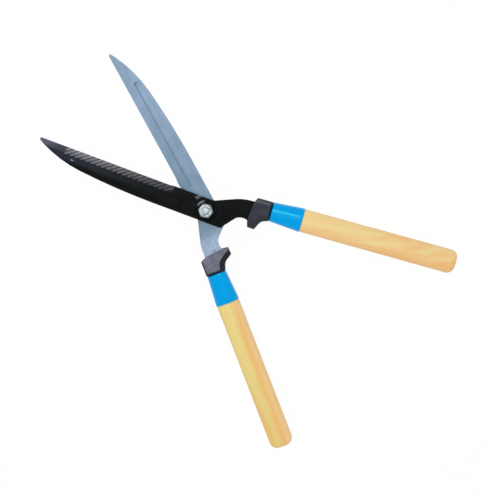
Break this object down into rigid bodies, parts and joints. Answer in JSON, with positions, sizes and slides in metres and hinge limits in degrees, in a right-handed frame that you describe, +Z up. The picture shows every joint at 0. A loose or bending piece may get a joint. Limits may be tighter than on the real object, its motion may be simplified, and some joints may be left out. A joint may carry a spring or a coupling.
{
  "type": "hedge shears",
  "caption": "Two-handed hedge shears: crossed stamped blades, one fluted, on a bolted pivot, with stop bumpers, tapered steel ferrules and oval wood handles.",
  "frame": {"origin": "centre of the bolt head's flat face on the pivot axis, which rests on the ground with the two ferrules", "axes": "+Z up along the pivot axis from the bolt head to the nut, +Y midway between the blades towards the tips, +X towards the grey blade's tip"},
  "size_m": [0.3261, 0.4754, 0.0292],
  "materials": {
    "satin_steel": "satin",
    "black_coating": "satin",
    "zinc_steel": "bright",
    "nylon": "matte",
    "bumper_plastic": "matte",
    "blue_paint": "gloss",
    "pale_wood": "clear varnish"
  },
  "bodies": {
    "grey_half": {"grey_blade": "satin_steel", "grey_bumper": "bumper_plastic", "grey_ferrule": "blue_paint", "grey_handle": "pale_wood", "pivot_bolt": "zinc_steel", "back_washer": "zinc_steel", "front_washer": "black_coating", "pivot_nut": "zinc_steel", "nut_ring": "nylon"},
    "black_half": {"black_blade": "black_coating", "black_bumper": "bumper_plastic", "black_ferrule": "blue_paint", "black_handle": "pale_wood"}
  },
  "joints": [
    {"name": "blade_pivot", "type": "hinge", "parent": "grey_half", "child": "black_half", "pos_m": [0, 0, 0.0123], "axis": [0, 0, 1], "range_deg": [-38.5, 40]}
  ]
}
